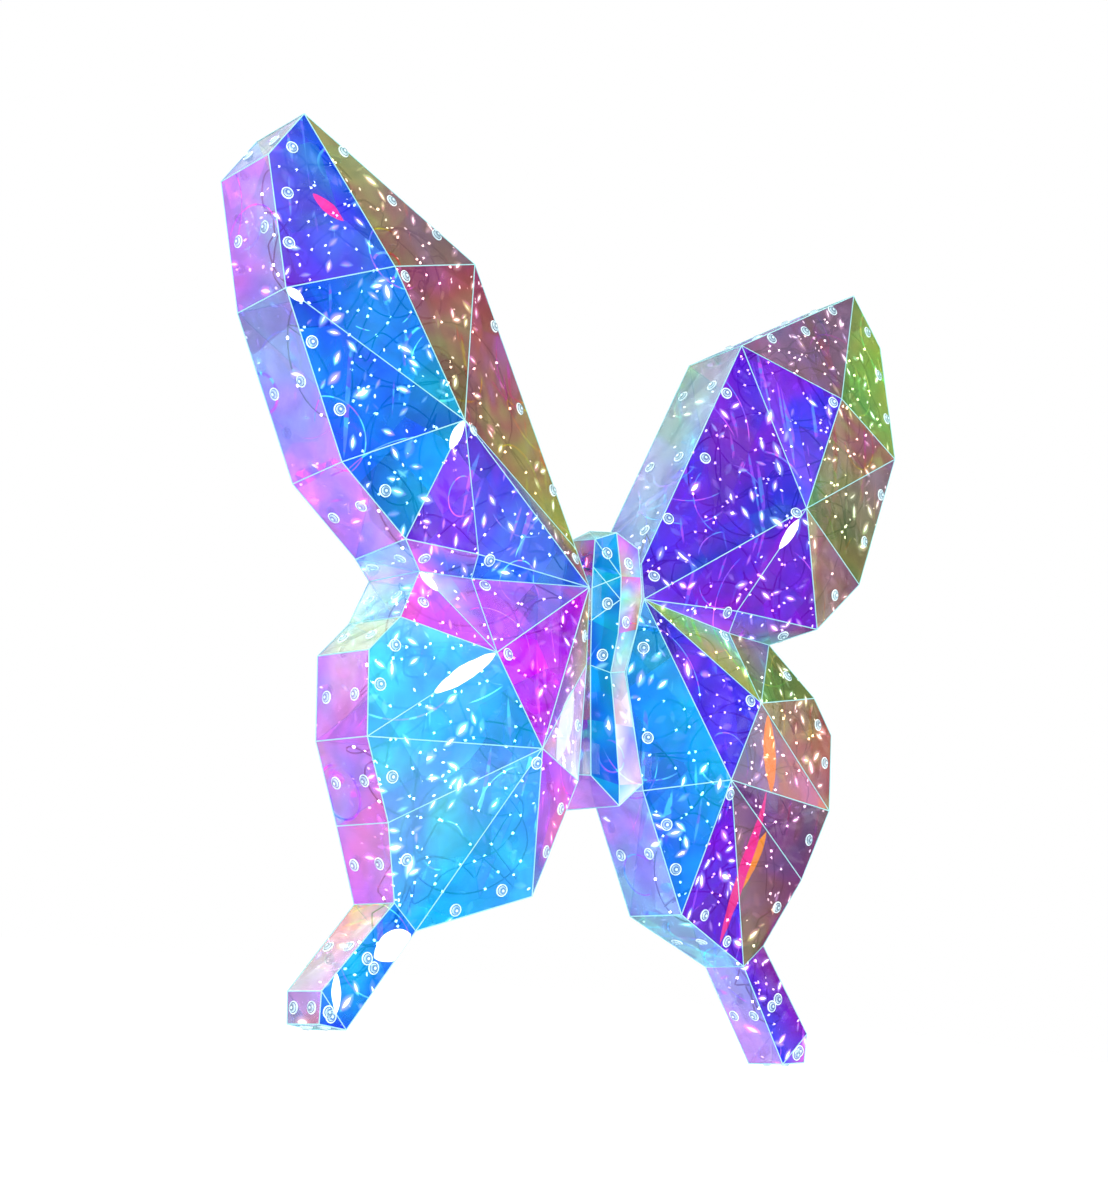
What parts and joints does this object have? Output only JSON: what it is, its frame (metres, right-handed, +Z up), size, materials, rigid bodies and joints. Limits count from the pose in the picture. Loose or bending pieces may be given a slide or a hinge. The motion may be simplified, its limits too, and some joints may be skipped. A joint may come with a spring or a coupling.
{
  "type": "fairy wings",
  "caption": "Light-up butterfly wings folded from iridescent see-through film, hinged to a slim body that is worn or hung by a flat back plate.",
  "frame": {"origin": "centre of the back plate's flat rear face, where a harness or hook plate fastens", "axes": "+Z up towards the crown and forewing tips, -Y out of the decorated front, +X towards the wing on the right of the front view; the wings mirror across the plane X = 0"},
  "size_m": [0.807, 0.211, 0.8003],
  "materials": {
    "azure_film": "glossy iridescent see-through film",
    "mauve_film": "glossy iridescent see-through film",
    "violet_film": "glossy iridescent see-through film",
    "magenta_film": "glossy iridescent see-through film",
    "cyan_film": "glossy iridescent see-through film",
    "orchid_film": "glossy iridescent see-through film",
    "clear_film": "glossy clear film",
    "clear_plastic": "clear moulded snap rivet",
    "plate_plastic": "satin moulded plate",
    "case_plastic": "fine-grained moulded case",
    "switch_plastic": "matt dark moulding",
    "cell_skin": "printed shrink sleeve, no lettering",
    "contact_metal": "nickel-plated spring sheet",
    "board_laminate": "green solder mask",
    "light_wire": "clear-coated copper wire"
  },
  "bodies": {
    "body": {"body_front_shell": "azure_film", "body_left_panel": "clear_film", "body_right_panel": "clear_film", "body_crown": "clear_film", "body_keel": "orchid_film", "back_plate": "plate_plastic", "battery_case": "case_plastic", "battery_cell_1": "cell_skin", "battery_cell_2": "cell_skin", "upper_contact_plate": "contact_metal", "lower_contact_plate": "contact_metal", "switch_body": "switch_plastic", "driver_board": "board_laminate", "feed_wire": "light_wire", "body_rivet_1": "clear_plastic", "body_rivet_2": "clear_plastic", "body_rivet_3": "clear_plastic", "body_rivet_4": "clear_plastic", "body_rivet_5": "clear_plastic", "left_upper_hinge_tab": "clear_film", "left_lower_hinge_tab": "clear_film", "right_upper_hinge_tab": "clear_film", "right_lower_hinge_tab": "clear_film"},
    "right_wing": {"right_forewing_outer_sheet": "azure_film", "right_forewing_inner_sheet": "mauve_film", "right_forewing_lower_sheet": "violet_film", "right_hindwing_upper_sheet": "magenta_film", "right_hindwing_outer_sheet": "cyan_film", "right_hindwing_inner_sheet": "magenta_film", "right_hindwing_lower_sheet": "azure_film", "right_forewing_rear_sheet": "violet_film", "right_hindwing_rear_sheet": "cyan_film", "right_forewing_outer_wall": "orchid_film", "right_forewing_inner_wall": "mauve_film", "right_hindwing_outer_wall": "orchid_film", "right_hindwing_inner_wall": "orchid_film", "right_tail_front_sheet": "azure_film", "right_tail_tray": "orchid_film", "right_forewing_light_string": "light_wire", "right_hindwing_light_string": "light_wire"},
    "left_wing": {"left_forewing_outer_sheet": "azure_film", "left_forewing_inner_sheet": "mauve_film", "left_forewing_lower_sheet": "violet_film", "left_hindwing_upper_sheet": "magenta_film", "left_hindwing_outer_sheet": "cyan_film", "left_hindwing_inner_sheet": "magenta_film", "left_hindwing_lower_sheet": "azure_film", "left_forewing_rear_sheet": "violet_film", "left_hindwing_rear_sheet": "cyan_film", "left_forewing_outer_wall": "orchid_film", "left_forewing_inner_wall": "mauve_film", "left_hindwing_outer_wall": "orchid_film", "left_hindwing_inner_wall": "orchid_film", "left_tail_front_sheet": "azure_film", "left_tail_tray": "orchid_film", "left_forewing_light_string": "light_wire", "left_hindwing_light_string": "light_wire"},
    "lid": {"battery_lid": "case_plastic"},
    "switch": {"switch_knob": "switch_plastic"}
  },
  "joints": [
    {"name": "right_wing_fold", "type": "hinge", "parent": "body", "child": "right_wing", "pos_m": [0.0355, -0.05, 0.0697], "axis": [0, -0.158, -0.9874], "range_deg": [-5, 45]},
    {"name": "left_wing_fold", "type": "hinge", "parent": "body", "child": "left_wing", "pos_m": [-0.0355, -0.05, 0.0697], "axis": [0, 0.158, 0.9874], "range_deg": [-5, 45]},
    {"name": "battery_lid_hinge", "type": "hinge", "parent": "body", "child": "lid", "pos_m": [0, 0, 0.0252], "axis": [-1, 0, 0], "range_deg": [0, 105]},
    {"name": "switch_slide", "type": "slide", "parent": "body", "child": "switch", "axis": [1, 0, 0], "range_m": [0, 0.005]}
  ]
}
